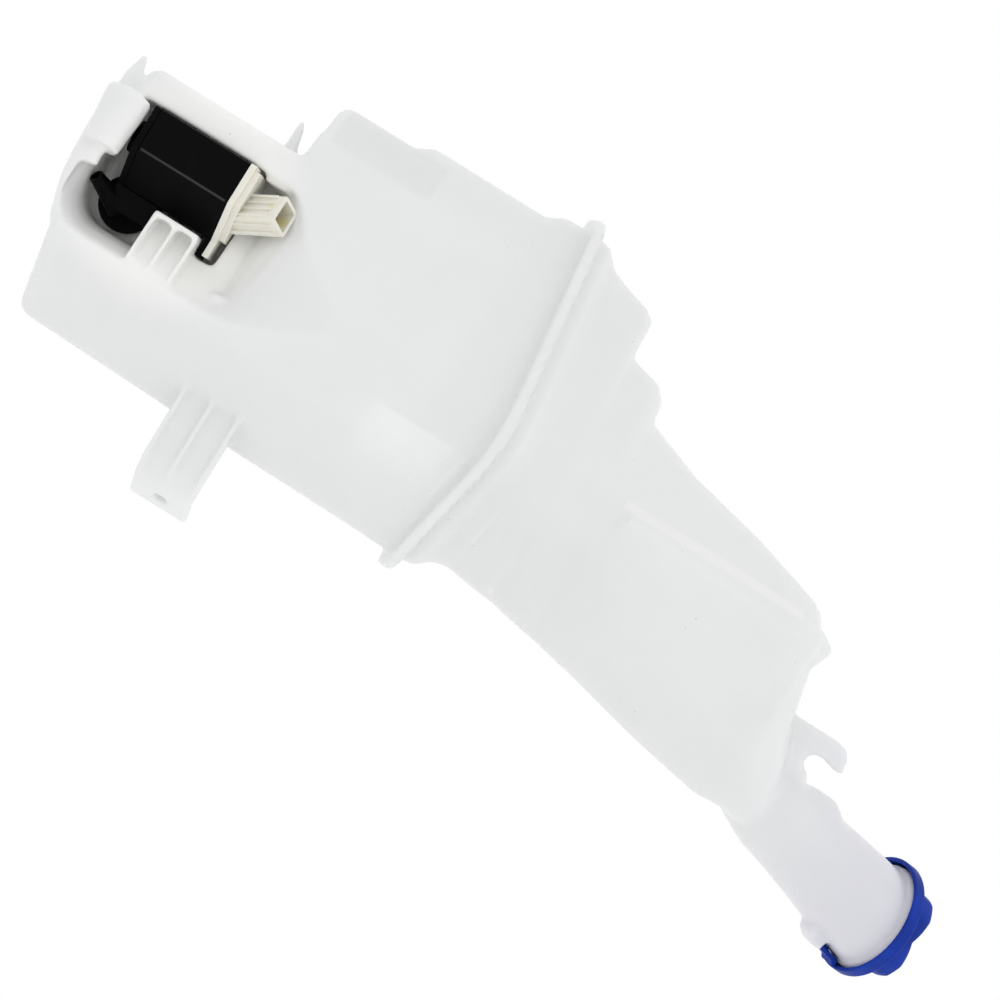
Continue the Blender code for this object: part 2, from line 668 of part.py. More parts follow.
def front_panel():
    # A raised field on the front of the tower: proud at its left edge, flush further right.
    rings = []
    for height, front, left, right, proud, slope in PANEL_LEVELS:
        outline = plan([(left, front + 1.2), (left + PANEL_STRIP, front - proud), (right, front + 0.4),
                        (right, front + 9), (left, front + 9)])
        rings.append([Vector((p.x, p.y, height * mm - slope * (p.x - left * mm))) for p in outline])
    return place("front_panel", loft(rings))


def upper_shell(material, frame):
    shell = place("upper_tank_shell", loft(upper_rings(0, True), True), material)
    tube, bore = neck_pieces(frame)
    nub, peg_hole = nub_piece(frame)
    for piece in (front_panel(), hook_piece(), tube, nub):
        combine(shell, piece, "UNION")
    cavity = place("upper_cavity", loft(upper_rings(WALL, False), True))
    combine(shell, cavity, "DIFFERENCE")
    combine(shell, bore, "DIFFERENCE")
    combine(shell, peg_hole, "DIFFERENCE")
    return shell


# Cap and strap

def knob_ring(height, reach, scallop):
    # One level of the grip: six points with hollow flats between them.
    ring = []
    for k in range(KNOB_LOBES * 8):
        part = abs((k % 8) - 4) / 4
        radius = KNOB_RADIUS * (reach - scallop * (1 - part) ** 0.8)
        angle = KNOB_TURN + math.tau * k / (KNOB_LOBES * 8)
        ring.append(Vector((radius * math.cos(angle), radius * math.sin(angle), height)))
    return ring


def cap_pieces(cap_material, strap_material, frame):
    hinge = empty("cap_hinge_axis", frame, (HINGE_OUT, 0, HINGE_HEIGHT))
    axis = empty("cap_axis", hinge, (-HINGE_OUT, 0, -HINGE_HEIGHT))
    deck = SEAT_GAP + CAP_DECK
    skirt = NECK_MOUTH_RADIUS + CAP_PLAY
    waist = skirt + 0.8 * mm
    plug = NECK_MOUTH_RADIUS - NECK_WALL - PLUG_PLAY
    profile = [(0, deck), (CAP_RIM - 1.2 * mm, deck), (CAP_RIM - 0.6 * mm, WAIST_TOP), (waist, WAIST_TOP),
               (waist, FLANGE_LIP - CAP_SKIRT), (CAP_RIM, FLANGE_LIP - CAP_SKIRT), (CAP_RIM, -CAP_SKIRT),
               (skirt, -CAP_SKIRT), (skirt, SEAT_GAP), (plug, SEAT_GAP),
               (plug, -PLUG_DEPTH), (plug - PLUG_WALL, -PLUG_DEPTH), (plug - PLUG_WALL, SEAT_GAP),
               (0, SEAT_GAP)]
    cap = turned("filler_cap", profile, cap_material, axis)
    levels = [knob_ring(WAIST_TOP + (KNOB_TOP - WAIST_TOP) * part, reach, scallop)
              for part, reach, scallop in KNOB_LEVELS]
    knob = place("knob", loft(levels), parent=axis)
    inside = plug - PLUG_WALL - 0.5 * mm
    knob_bore = turned("knob_bore", [(0, KNOB_TOP), (skirt, KNOB_TOP), (skirt, -CAP_SKIRT), (0, -CAP_SKIRT)],
                       parent=axis)
    knob_bore.location.z = SEAT_GAP - KNOB_TOP
    ceiling = KNOB_TOP - CAP_DECK - DISH_DEPTH
    hollow = turned("knob_hollow", [(0, ceiling), (0.72 * inside, ceiling), (0.8 * inside, SEAT_GAP - 1 * mm),
                                    (0, SEAT_GAP - 1 * mm)], parent=axis)
    dish = turned("knob_dish", [(0, KNOB_TOP + 1 * mm), (0.62 * KNOB_RADIUS, KNOB_TOP + 1 * mm),
                                (0.55 * KNOB_RADIUS, KNOB_TOP - DISH_DEPTH), (0, KNOB_TOP - DISH_DEPTH)], parent=axis)
    combine(knob, knob_bore, "DIFFERENCE")
    combine(cap, knob, "UNION")
    combine(cap, hollow, "DIFFERENCE")
    combine(cap, dish, "DIFFERENCE")

    top = HINGE_HEIGHT - SEAT_GAP / 2
    outline = [Vector((STRAP_FOOT, STRAP_LOW)), Vector((STRAP_FOOT + STRAP_THICK, STRAP_LOW)),
               Vector((STRAP_FACE + STRAP_THICK, top - STRAP_CORNER)),
               Vector((HINGE_OUT - SEAT_GAP, top - STRAP_CORNER / 2)),
               Vector((HINGE_OUT - SEAT_GAP, top)), Vector((STRAP_FACE, top))]
    strap = place("cap_strap", side_profile(outline, STRAP_WIDTH), strap_material, frame)
    bevel(strap, 0.3 * mm, 1, 60)
    middle = STRAP_FOOT + STRAP_THICK / 2
    peg = place("strap_peg", box((middle - PEG_THICK / 2, -PEG_WIDTH / 2, STRAP_LOW - SEAT_GAP - PEG_LENGTH),
                                 (middle + PEG_THICK / 2, PEG_WIDTH / 2, STRAP_LOW + 1 * mm)), parent=frame)
    combine(strap, peg, "UNION")
    return cap, strap


# Pump

def case_corners():
    return [Vector((CASE_LEFT, CASE_FRONT)), Vector((CASE_RIGHT - CASE_CHAMFER, CASE_FRONT)),
            Vector((CASE_RIGHT, CASE_FRONT + CASE_CHAMFER)), Vector((CASE_RIGHT, CASE_BACK)),
            Vector((CASE_LEFT, CASE_BACK))]


def case_outline(inset=0.0):
    return round_corners(inset_corners(case_corners(), inset), [CASE_CORNER] * 5, 2)


def pump_case(material, axis):
    case = place("pump_case", upright(case_outline(), CASE_BOTTOM, CASE_TOP), material)
    lug = place("case_lug", box((CASE_RIGHT - 4 * mm, CASE_FRONT + CASE_CHAMFER, CASE_TOP - 2.6 * mm + 0.2 * mm),
                                (CASE_RIGHT + 8.6 * mm, CASE_BACK - 2 * mm, CASE_TOP)))
    bore = turned("motor_bore", [(0, CASE_TOP + 2 * mm), (CAN_RADIUS + SEAT_GAP, CASE_TOP + 2 * mm),
                                        (CAN_RADIUS + SEAT_GAP, FLOOR_TOP), (0, FLOOR_TOP)],
                  parent=axis, steps=32)
    chamber_top = FLOOR_TOP - FLOOR_THICK
    chamber = turned("impeller_chamber", [(0, chamber_top), (CHAMBER_RADIUS, chamber_top),
                                                 (CHAMBER_RADIUS, CASE_BOTTOM - 2 * mm),
                                                 (0, CASE_BOTTOM - 2 * mm)], parent=axis, steps=32)
    shaft_hole = place("shaft_hole", cone((0, 0, FLOOR_TOP + 1 * mm), (0, 0, chamber_top - 1 * mm),
                                          SEAL_RADIUS + SEAT_GAP, SEAL_RADIUS + SEAT_GAP, 20), parent=axis)
    combine(case, lug, "UNION")
    for tool in (bore, chamber, shaft_hole):
        combine(case, tool, "DIFFERENCE")
    return case


def pump_head(material, axis):
    # The cover under the impeller, its outlet nozzle and the elbow that plugs into the tank.
    top = CASE_BOTTOM - SEAT_GAP
    head = place("pump_head", upright(case_outline(), top - BASE_THICK, top), material)
    boss = place("head_boss", cone((0, 0, top - BASE_THICK - BASE_BOSS_DROP),
                                   (0, 0, top - BASE_THICK / 2), BASE_BOSS - 1 * mm, BASE_BOSS), parent=axis)
    block_left = CASE_RIGHT + SEAT_GAP
    disc_back = NOTCH_BACK - SEAT_GAP - GROMMET_LIP - SEAT_GAP
    block = place("head_block", box((block_left, CASE_FRONT + CASE_CHAMFER, top - BASE_THICK),
                                    (-18 * mm, disc_back - DISC_THICK / 2, -181 * mm)))
    tie = place("head_tie", box((CASE_RIGHT - 3 * mm, CASE_FRONT + CASE_CHAMFER, top - BASE_THICK),
                                (block_left + 1 * mm, CASE_BACK - 1 * mm, top)))
    x, z = PORT_CENTRE
    disc = place("head_disc", cone((x, disc_back - DISC_THICK, z), (x, disc_back, z), DISC_RADIUS, DISC_RADIUS, 36))
    spigot = place("head_spigot", cone((x, disc_back - DISC_THICK / 2, z), (x, NOTCH_BACK + 9 * mm, z),
                                       SPIGOT_RADIUS, SPIGOT_RADIUS - 0.5 * mm))
    outlet_start = Vector((-19.5, -27, -196)) * mm
    outlet_end = Vector((-25.5, -38, -208.5)) * mm
    outlet = place("head_outlet", cone(outlet_start, outlet_end, 5.2 * mm, 2.9 * mm, 20))
    run = (outlet_end - outlet_start).normalized()
    way_out = place("outlet_bore", cone(outlet_start + run * 5 * mm, outlet_end + run * 2 * mm,
                                        1.7 * mm, 1.7 * mm, 16))
    way_in = place("inlet_bore", cone((x, disc_back - 6 * mm, z), (x, NOTCH_BACK + 12 * mm, z),
                                      SPIGOT_BORE, SPIGOT_BORE, 16))
    for piece in (boss, tie, block, disc, spigot, outlet):
        combine(head, piece, "UNION")
    combine(head, way_out, "DIFFERENCE")
    combine(head, way_in, "DIFFERENCE")
    return head


def inlet_grommet(material):
    # A rubber bush with a lip on each side of the notch's back wall.
    seat = empty("grommet_axis", datum, (PORT_CENTRE.x, NOTCH_BACK, PORT_CENTRE.y), (math.radians(-90), 0, 0))
    front = -SEAT_GAP
    back = WALL + SEAT_GAP
    bore = SPIGOT_RADIUS + SEAT_GAP
    profile = [(bore, front - GROMMET_LIP), (bore, back + GROMMET_LIP),
               (GROMMET_RADIUS - 1.5 * mm, back + GROMMET_LIP), (GROMMET_RADIUS - 1.2 * mm, back),
               (GROMMET_NECK, back), (GROMMET_NECK, front), (GROMMET_RADIUS, front),
               (GROMMET_RADIUS, front - GROMMET_LIP)]
    return turned("inlet_grommet", profile, material, seat, 32)


def connector_cap(material, pin_material):
    plate_low = CASE_TOP + SEAT_GAP
    step = 2.6 * mm
    cap = place("connector_cap", upright(case_outline(-0.2 * mm), plate_low, plate_low + step), material)
    lug = place("cover_lug", box((CASE_RIGHT - 4 * mm, CASE_FRONT + CASE_CHAMFER, plate_low),
                                 (CASE_RIGHT + 7.4 * mm, CASE_BACK - 2 * mm, plate_low + step)))
    upper = place("cover_step", upright(case_outline(1.6 * mm), plate_low + step / 2, plate_low + 2 * step))
    lean = empty("connector_axis", datum, (*CONNECTOR_FOOT, plate_low + 2 * step), CONNECTOR_TURN)
    half_w, half_d = CONNECTOR_WIDTH / 2, CONNECTOR_DEPTH / 2

    def rounded_block(half_x, half_y, corner):
        corners = [Vector((-half_x, -half_y)), Vector((half_x, -half_y)),
                   Vector((half_x, half_y)), Vector((-half_x, half_y))]
        return round_corners(corners, [corner] * 4, 2)

    shroud = place("shroud", upright(rounded_block(half_w, half_d, 1.4 * mm),
                                     CONNECTOR_ROOT, CONNECTOR_HEIGHT), parent=lean)
    socket = place("socket", upright(rounded_block(half_w - CONNECTOR_WALL, half_d - CONNECTOR_WALL, 0.8 * mm),
                                     CONNECTOR_FLOOR, CONNECTOR_HEIGHT + 3 * mm), parent=lean)
    pieces = [lug, upper, shroud]
    for i in range(4):
        x = half_w * (-0.75 + 0.5 * i)
        pieces.append(place(f"shroud_rib_{i}", box((x - 0.6 * mm, -half_d - 0.8 * mm, -3 * mm),
                                                   (x + 0.6 * mm, -half_d + 0.5 * mm, CONNECTOR_HEIGHT - 3 * mm)),
                            parent=lean))
    for y in (-0.4, 0.4):
        pieces.append(place(f"shroud_key_{y}", box((half_w - 0.5 * mm, (y - 0.1) * half_d, -3 * mm),
                                                   (half_w + 0.8 * mm, (y + 0.1) * half_d, CONNECTOR_HEIGHT - 2 * mm)),
                            parent=lean))
    for piece in pieces:
        combine(cap, piece, "UNION")
    combine(cap, socket, "DIFFERENCE")
    underside = place("cover_underside", box((CASE_LEFT, CASE_FRONT, plate_low - 3 * step),
                                             (CASE_RIGHT + step, CASE_BACK, plate_low)))
    combine(cap, underside, "DIFFERENCE")
    for side, name in ((-1, "terminal_left"), (1, "terminal_right")):
        x = side * 2.4 * mm
        blade = place(name, box((x - 1.2 * mm, -0.4 * mm, CONNECTOR_FLOOR + SEAT_GAP),
                                (x + 1.2 * mm, 0.4 * mm, CONNECTOR_FLOOR + TERMINAL_HEIGHT)), pin_material, lean)
        bevel(blade, 0.2 * mm, 1)
    return cap


def motor(steel, magnet, copper, plastic, axis, rotor):
    floor = FLOOR_TOP + SEAT_GAP
    top = floor + CAN_LENGTH
    inner = CAN_RADIUS - CAN_WALL
    neck = BUSH_RADIUS + SEAT_GAP
    turned("motor_can", [(neck, floor + CAN_WALL), (inner, floor + CAN_WALL), (inner, top), (CAN_RADIUS, top),
                         (CAN_RADIUS, floor), (neck, floor)], steel, axis, 32)
    middle = floor + CAN_WALL + 4 * mm + MAGNET_LENGTH / 2
    for side, name in ((1, "magnet_front"), (-1, "magnet_rear")):
        outer_arc = [math.radians(a) for a in range(-62, 63, 31)]
        far = inner - SEAT_GAP
        near = far - MAGNET_THICK
        outline = [Vector((far * math.sin(a), -side * far * math.cos(a))) for a in outer_arc]
        outline += [Vector((near * math.sin(a), -side * near * math.cos(a))) for a in reversed(outer_arc)]
        place(name, upright(outline, middle - MAGNET_LENGTH / 2, middle + MAGNET_LENGTH / 2), magnet, axis)

    poles = []
    for k in range(ARMATURE_POLES * 8):
        angle = math.tau * k / (ARMATURE_POLES * 8)
        slot = k % 8 in (3, 4, 5)
        reach = ARMATURE_RADIUS * (0.62 if slot else 1.0)
        poles.append(Vector((reach * math.cos(angle), reach * math.sin(angle))))
    core = place("armature_core", upright(poles, middle - ARMATURE_LENGTH / 2, middle + ARMATURE_LENGTH / 2),
                 steel, rotor)
    shaft_way = SHAFT_RADIUS + SEAT_GAP
    core_hole = place("core_hole", cone((0, 0, middle - ARMATURE_LENGTH), (0, 0, middle + ARMATURE_LENGTH),
                                        shaft_way, shaft_way, 16), parent=rotor)
    combine(core, core_hole, "DIFFERENCE")
    ring_low = middle + ARMATURE_LENGTH / 2 + SEAT_GAP
    ring_high = ring_low + COMMUTATOR_LENGTH
    turned("commutator", [(shaft_way, ring_low), (shaft_way, ring_high), (COMMUTATOR_RADIUS, ring_high),
                          (COMMUTATOR_RADIUS, ring_low)], copper, rotor, 20)
    shaft_top = top - 0.6 * mm
    shaft_low = CASE_BOTTOM + 1.2 * mm
    place("rotor_shaft", cone((0, 0, shaft_low), (0, 0, shaft_top), SHAFT_RADIUS, SHAFT_RADIUS, 16), steel, rotor)
    bush_bore = SHAFT_RADIUS + 0.1 * mm
    turned("lower_bush", [(bush_bore, floor), (bush_bore, floor + BUSH_LENGTH), (BUSH_RADIUS, floor + BUSH_LENGTH),
                          (BUSH_RADIUS, floor)], copper, axis, 20)
    end_low = top - 2.4 * mm
    holder = turned("brush_holder", [(bush_bore + 2 * mm, end_low), (bush_bore + 2 * mm, top), (inner - SEAT_GAP, top),
                                     (inner - SEAT_GAP, end_low)], plastic, axis, 32)
    turned("upper_bush", [(bush_bore, end_low), (bush_bore, top), (bush_bore + 2 * mm - SEAT_GAP, top),
                          (bush_bore + 2 * mm - SEAT_GAP, end_low)], copper, axis, 20)
    for side, name in ((-1, "brush_left"), (1, "brush_right")):
        inner_end = COMMUTATOR_RADIUS + RUN_GAP
        low, high = ring_low + 0.4 * mm, end_low - SEAT_GAP
        ends = sorted((side * inner_end, side * (inner_end + 5 * mm)))
        place(name, box((ends[0], -1.2 * mm, low), (ends[1], 1.2 * mm, high)), copper, axis)
    turned("shaft_seal", [(bush_bore + 0.1 * mm, FLOOR_TOP - FLOOR_THICK), (bush_bore + 0.1 * mm, FLOOR_TOP),
                          (SEAL_RADIUS, FLOOR_TOP), (SEAL_RADIUS, FLOOR_TOP - FLOOR_THICK)], magnet, axis, 20)
    return holder


def impeller(material, rotor):
    high = FLOOR_TOP - FLOOR_THICK - RUN_GAP
    low = CASE_BOTTOM + RUN_GAP
    plate = 1.4 * mm
    hub = 2.8 * mm
    wheel = turned("impeller", [(0, high), (IMPELLER_RADIUS, high), (IMPELLER_RADIUS, high - plate),
                                (hub, high - plate), (hub, low), (0, low)], material, rotor, 32)
    for k in range(IMPELLER_VANES):
        vane = place(f"vane_{k}", box((hub - 0.6 * mm, -0.6 * mm, low + 1 * mm),
                                      (IMPELLER_RADIUS - 0.4 * mm, 0.6 * mm, high - plate / 2)), parent=rotor)
        vane.rotation_euler.z = math.tau * k / IMPELLER_VANES
        combine(wheel, vane, "UNION")
    shaft_way = SHAFT_RADIUS + SEAT_GAP
    hole = place("impeller_hole", cone((0, 0, CASE_BOTTOM + 0.9 * mm), (0, 0, high + 2 * mm),
                                       shaft_way, shaft_way, 16), parent=rotor)
    combine(wheel, hole, "DIFFERENCE")


def build():
    milky = make_material("tank_plastic", (0.80, 0.81, 0.80), 0.38)
    blue = make_material("blue_plastic", (0.03, 0.07, 0.40), 0.42)
    black = make_material("black_plastic", (0.012, 0.012, 0.012), 0.45)
    cream = make_material("cream_plastic", (0.74, 0.70, 0.60), 0.45)
    rubber = make_material("black_rubber", (0.02, 0.02, 0.02), 0.8)
    steel = make_material("plated_steel", (0.62, 0.62, 0.60), 0.3, 1.0)
    copper = make_material("copper", (0.70, 0.40, 0.22), 0.35, 1.0)
    ferrite = make_material("ferrite", (0.06, 0.06, 0.065), 0.6)

    seat_point = lower_shell(milky)[1]
    frame = neck_frame()
    upper_shell(milky, frame)
    cap_pieces(blue, blue, frame)
    axis = empty("pump_axis", datum, PUMP_AXIS)
    rotor = empty("rotor_axis", axis)
    pump_case(black, axis)
    pump_head(black, axis)
    inlet_grommet(rubber)
    connector_cap(cream, steel)
    motor(steel, ferrite, copper, cream, axis, rotor)
    impeller(cream, rotor)
    datum.location = -seat_point
    bpy.context.view_layer.update()


build()
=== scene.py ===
# Washer fluid reservoir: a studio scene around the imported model.
import bmesh
import bpy
import json
import math
from mathutils import Matrix, Vector


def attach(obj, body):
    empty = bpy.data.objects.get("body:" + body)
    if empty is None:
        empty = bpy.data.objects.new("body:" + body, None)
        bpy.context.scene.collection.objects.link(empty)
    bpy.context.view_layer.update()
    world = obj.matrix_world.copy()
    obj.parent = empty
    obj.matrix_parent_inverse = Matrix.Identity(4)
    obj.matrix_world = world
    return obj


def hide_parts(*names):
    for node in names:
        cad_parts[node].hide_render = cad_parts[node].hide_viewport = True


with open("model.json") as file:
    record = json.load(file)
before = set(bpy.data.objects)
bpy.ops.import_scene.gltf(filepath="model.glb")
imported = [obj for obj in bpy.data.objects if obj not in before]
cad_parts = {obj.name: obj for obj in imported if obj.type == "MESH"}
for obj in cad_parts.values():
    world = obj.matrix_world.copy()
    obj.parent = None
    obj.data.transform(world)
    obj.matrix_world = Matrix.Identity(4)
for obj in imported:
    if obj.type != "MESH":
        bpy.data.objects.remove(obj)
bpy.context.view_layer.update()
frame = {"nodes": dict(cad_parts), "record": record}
nodes = frame["nodes"]
mm = 0.001
seat = Vector((-0.071403, -0.00013, 0.1305))  # tank coordinates to the model's origin
print("frame loaded:", len(nodes), "nodes")


# Shader tools

def linear(value):  # one channel as read off a screen, 0 to 255
    return value / 255 / 12.92 if value <= 10 else ((value / 255 + 0.055) / 1.055) ** 2.4


def tone(red, green, blue):
    return linear(red), linear(green), linear(blue), 1.0


class Wire:  # a socket that takes part in plain arithmetic
    def __init__(self, board, socket):
        self.board, self.socket = board, socket

    def sums(self, operation, first, second=0.0, clamp=False):
        settings = {"operation": operation, "use_clamp": clamp}
        return self.board.node("ShaderNodeMath", settings, {0: first, 1: second})

    def __add__(self, other): return self.sums("ADD", self, other)
    def __radd__(self, other): return self.sums("ADD", other, self)
    def __sub__(self, other): return self.sums("SUBTRACT", self, other)
    def __rsub__(self, other): return self.sums("SUBTRACT", other, self)
    def __mul__(self, other): return self.sums("MULTIPLY", self, other)
    def __rmul__(self, other): return self.sums("MULTIPLY", other, self)
    def __pow__(self, other): return self.sums("POWER", self, other)
    def held(self): return self.sums("ADD", self, 0.0, True)  # kept between 0 and 1


class Board:  # one material's or the world's node tree
    def __init__(self, tree):
        self.tree = tree
        tree.nodes.clear()

    def node(self, kind, settings=None, inputs=None, out=0):
        made = self.tree.nodes.new(kind)
        for key, value in (settings or {}).items():
            setattr(made, key, value)
        for key, value in (inputs or {}).items():
            if isinstance(value, Wire):
                self.tree.links.new(value.socket, made.inputs[key])
            else:
                made.inputs[key].default_value = value
        return Wire(self, made.outputs[out]) if made.outputs else None

    def blend(self, mask, low, high):
        return self.node("ShaderNodeMix", {"data_type": "RGBA"}, {0: mask, 6: low, 7: high}, 2)

    def axes(self):  # a point in the model's own metres, whole and as x, y and z
        place = self.node("ShaderNodeTexCoord", out="Object")
        split = self.node("ShaderNodeSeparateXYZ", inputs={0: place}).socket.node
        return place, [Wire(self, split.outputs[i]) for i in range(3)]

    def noise(self, place, scale, detail=3.0, rough=0.5, stretch=None):
        if stretch:
            place = self.node("ShaderNodeVectorMath", {"operation": "MULTIPLY"}, {0: place, 1: stretch})
        return self.node("ShaderNodeTexNoise",
                         inputs={"Vector": place, "Scale": scale, "Detail": detail, "Roughness": rough})

    def step(self, value, low, high):  # 0 below low and 1 above high, smooth between
        return self.node("ShaderNodeMapRange", {"interpolation_type": "SMOOTHSTEP"},
                         {"Value": value, "From Min": low, "From Max": high})

    def near(self, split, centre, inner, outer):  # 1 within inner metres of a point, 0 beyond outer
        x, y, z = (axis - at for axis, at in zip(split, centre))
        reach = (x * x + y * y + z * z) ** 0.5
        return 1 - self.step(reach, inner, outer)

    def patch(self, split, sides, soft):  # 1 inside a rectangle of the front half, given in tank mm
        left, right, low, high = (v * mm for v in sides)
        halfway = 0.004  # how softly the front half ends, each way
        x, y, z = split[0] - seat.x, split[1], split[2] - seat.z
        across = self.step(x, left - soft, left + soft) * (1 - self.step(x, right - soft, right + soft))
        upward = self.step(z, low - soft, low + soft) * (1 - self.step(z, high - soft, high + soft))
        return across * upward * (1 - self.step(y, -halfway, halfway))

    def bump(self, height, strength, distance, below=None):
        inputs = {"Height": height, "Strength": strength, "Distance": distance}
        if below:
            inputs["Normal"] = below
        return self.node("ShaderNodeBump", inputs=inputs)

    def surface(self, values):
        shader = self.node("ShaderNodeBsdfPrincipled", inputs=values)
        self.node("ShaderNodeOutputMaterial", inputs={"Surface": shader})


def newMaterial(name):
    material = bpy.data.materials.new(name)
    material.use_nodes = True
    return material, Board(material.node_tree)


# Materials

# Rectangles are left, right, low and high in tank mm, and reaches are metres.
tankFinish = {
    "body": tone(231, 232, 232), "cloud": tone(227, 228, 228), "mouth": tone(214, 214, 224),
    # the edge tone is a painted highlight, the shadow tone painted shade and the pocket tone painted light
    "edge": tone(239, 239, 238), "shadow": tone(200, 200, 199), "pocket": tone(243, 243, 241),
    "speck": tone(150, 146, 138), "slot": tone(96, 98, 100),
    "roughness": 0.32, "coat": 0.4, "coatRoughness": 0.07, "scatter": 0.35, "scatterDepth": 0.006,
    "cloudScale": 22.0, "flowScale": 60.0, "grainScale": 1400.0, "speckScale": 620.0, "speckFieldScale": 26.0,
    "mouthRise": (0.27, 0.36), "notchCentre": (-0.108, -0.025, -0.045), "notchReach": (0.036, 0.056),
    "recess": (-105, -89, -137, -91), "pad": (-111, -97, -79, -60), "highlightStrip": (-27.2, -23.6, 44.0, 131.0),
    "padMark": (-104, -38.0, -67), "padMarkReach": (0.0020, 0.0034),
    "slots": ((-45.5, -39.3, -227.8, -226.6), (-36.5, -32.0, -223.4, -222.2)), "slotSoft": 0.0003,
}


def milkyPlastic():
    look = tankFinish
    material, board = newMaterial("milkyPlastic")
    place, split = board.axes()
    cloud = board.noise(place, look["cloudScale"], 4.0, 0.55)
    grain = board.noise(place, look["grainScale"], 2.0)
    flow = board.noise(place, look["flowScale"], 3.0, 0.6, (1.0, 1.0, 0.25))
    ridge = board.node("ShaderNodeNewGeometry", out="Pointiness")
    specks = board.step(board.noise(place, look["speckScale"], 1.0), 0.76, 0.80)
    dirt = specks * board.step(board.noise(place, look["speckFieldScale"], 2.0), 0.56, 0.66)
    upperSlot, lowerSlot = (board.patch(split, slot, look["slotSoft"]) for slot in look["slots"])
    colour = board.blend(board.step(cloud, 0.42, 0.75) * 0.6, look["body"], look["cloud"])
    # painted light: the tank turns lighter around the pump's pocket, lifting the shade there as if light came
    # through its thin walls
    colour = board.blend(board.near(split, look["notchCentre"], *look["notchReach"]), colour, look["pocket"])
    # partly the neck's own bluish tint and partly painted shade, darker up towards the cap
    colour = board.blend(board.step(split[2], *look["mouthRise"]) * 0.8, colour, look["mouth"])
    # painted highlight: sharp edges and ribs turn lighter, as if light shone through the thin plastic
    colour = board.blend(board.step(ridge, 0.52, 0.62) * 0.4, colour, look["edge"])
    colour = board.blend(board.patch(split, look["recess"], 0.0015) * 0.14, colour, look["shadow"])
    # painted highlight: a lighter strip down the tower's sloped face, where light catches it
    colour = board.blend(board.patch(split, look["highlightStrip"], 0.001) * 0.7, colour, look["edge"])
    colour = board.blend(dirt * 0.7, colour, look["speck"])
    # painted shade: dark lines where the slots at the bottom are, for the shade inside them
    colour = board.blend((upperSlot + lowerSlot).held() * 0.8, colour, look["slot"])
    rough = look["roughness"] + 0.08 * cloud + 0.05 * grain
    mark = tuple(v * mm + base for v, base in zip(look["padMark"], seat))
    pad = board.patch(split, look["pad"], 0.002) * 0.4
    raised = pad - board.near(split, mark, *look["padMarkReach"]) * 0.3
    sunken = board.patch(split, look["recess"], 0.002)
    normal = board.bump(flow, 0.10, 0.0006)
    normal = board.bump(grain, 0.06, 0.0001, normal)
    normal = board.bump(raised - sunken, 0.6, 0.0008, normal)
    board.surface({"Base Color": colour, "Roughness": rough, "Normal": normal, "IOR": 1.5,
                   "Subsurface Weight": look["scatter"], "Subsurface Radius": (1.0, 1.0, 1.0),
                   "Subsurface Scale": look["scatterDepth"],
                   "Coat Weight": look["coat"], "Coat Roughness": look["coatRoughness"]})
    return material


capFinish = {"body": tone(26, 58, 162), "deep": tone(20, 48, 140), "roughness": 0.4, "specular": 0.08}


def bluePlastic():
    look = capFinish
    material, board = newMaterial("bluePlastic")
    place = board.axes()[0]
    cloud = board.noise(place, 60.0, 3.0)
    grain = board.noise(place, 2200.0, 2.0)
    scuff = board.noise(place, 240.0, 5.0, 0.7, (1.0, 0.2, 1.0))
    colour = board.blend(board.step(cloud, 0.35, 0.7), look["body"], look["deep"])
    rough = look["roughness"] + 0.12 * board.step(scuff, 0.55, 0.7) + 0.05 * grain
    board.surface({"Base Color": colour, "Roughness": rough, "Normal": board.bump(grain, 0.10, 0.0001),
                   "Specular IOR Level": look["specular"]})
    return material


blackFinish = {"body": tone(6, 6, 7), "dust": tone(15, 15, 16), "roughness": 0.42, "specular": 0.05,
               # the edge tone is a painted highlight line on the case's corner
               "edge": tone(74, 74, 76), "highlightLine": (-44.2, -43.4, -196.6, -157.0)}


def blackPlastic():
    look = blackFinish
    material, board = newMaterial("blackPlastic")
    place, split = board.axes()
    cloud = board.noise(place, 120.0, 4.0, 0.6)
    grain = board.noise(place, 2600.0, 2.0)
    colour = board.blend(board.step(cloud, 0.5, 0.8) * 0.5, look["body"], look["dust"])
    # painted highlight: a light line down the pump case's chamfered corner
    colour = board.blend(board.patch(split, look["highlightLine"], 0.0003) * 0.7, colour, look["edge"])
    rough = look["roughness"] + 0.15 * cloud
    board.surface({"Base Color": colour, "Roughness": rough, "Normal": board.bump(grain, 0.12, 0.0001),
                   "Specular IOR Level": look["specular"]})
    return material


creamFinish = {"body": tone(233, 231, 221), "warm": tone(224, 217, 193), "inside": tone(226, 216, 150),
               "socket": (-0.12085, -0.04417, -0.00665), "socketReach": (0.0045, 0.0062), "roughness": 0.45,
               "scatter": 0.15, "scatterRadius": (1.0, 0.9, 0.7), "scatterDepth": 0.002}


def creamPlastic():
    look = creamFinish
    material, board = newMaterial("creamPlastic")
    place, split = board.axes()
    cloud = board.noise(place, 90.0, 3.0)
    grain = board.noise(place, 2400.0, 2.0)
    colour = board.blend(board.step(cloud, 0.45, 0.8) * 0.5, look["body"], look["warm"])
    inside = board.near(split, look["socket"], *look["socketReach"]) * 0.8
    colour = board.blend(inside, colour, look["inside"])
    rough = look["roughness"] + 0.1 * cloud
    board.surface({"Base Color": colour, "Roughness": rough, "Normal": board.bump(grain, 0.08, 0.0001),
                   "Subsurface Weight": look["scatter"], "Subsurface Radius": look["scatterRadius"],
                   "Subsurface Scale": look["scatterDepth"]})
    return material


hardFinish = {  # tone, roughness, metallic
    "rubber": (tone(22, 22, 22), 0.78, 0.0), "steel": (tone(196, 196, 192), 0.30, 1.0),
    "copper": (tone(214, 150, 104), 0.34, 1.0), "ferrite": (tone(64, 64, 66), 0.62, 0.0),
}


